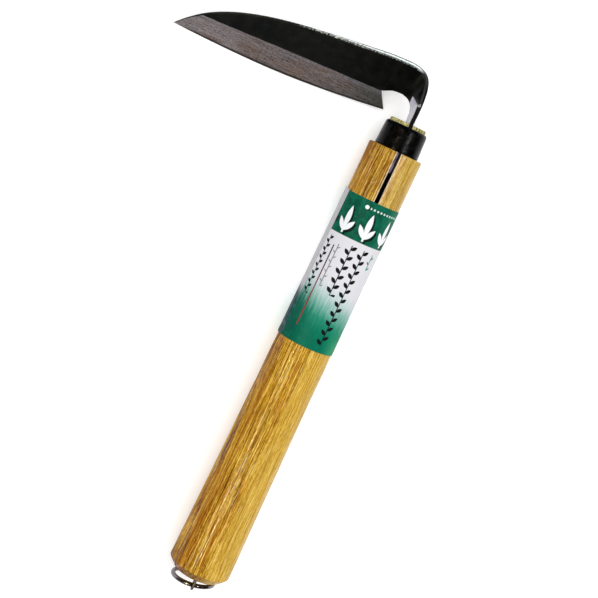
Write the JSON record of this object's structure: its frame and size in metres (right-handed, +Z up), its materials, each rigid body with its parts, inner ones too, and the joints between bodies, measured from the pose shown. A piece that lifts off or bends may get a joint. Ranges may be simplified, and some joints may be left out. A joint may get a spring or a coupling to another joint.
{
  "type": "hand sickle",
  "caption": "Japanese-style weeding sickle: black forged blade with a ground bevel on a twisted neck, slit wooden handle, black ferrule, paper sleeve and hanging ring.",
  "frame": {"origin": "on the bench, under the middle of the sickle's box as it lies on its side", "axes": "+X along the handle from the butt to the head, +Y to the side the blade points to, +Z up from the bench"},
  "size_m": [0.2906, 0.1434, 0.0334],
  "materials": {
    "blade_steel": "forged steel with black scale, spine edge ground bright, front bevel ground grey-brown",
    "handle_wood": "straight-grained pale hardwood under clear gloss varnish",
    "ferrule_black": "gloss black enamel",
    "nail_steel": "plain drawn steel",
    "label_paper": "printed coated paper, green and white, no lettering",
    "staple_wire": "zinc-plated wire",
    "ring_wire": "bright nickel-plated wire"
  },
  "bodies": {
    "sickle": {"blade": "blade_steel", "handle": "handle_wood", "ferrule": "ferrule_black", "cross_nail": "nail_steel", "label_sleeve": "label_paper", "ring_staple": "staple_wire"},
    "ring": {"hanging_ring": "ring_wire"}
  },
  "joints": [
    {"name": "ring_swing", "type": "hinge", "parent": "sickle", "child": "ring", "pos_m": [-0.14258, -0.055, 0.02528], "axis": [-0.1219, 0.9925, 0.0012], "range_deg": [-3, 205]}
  ]
}
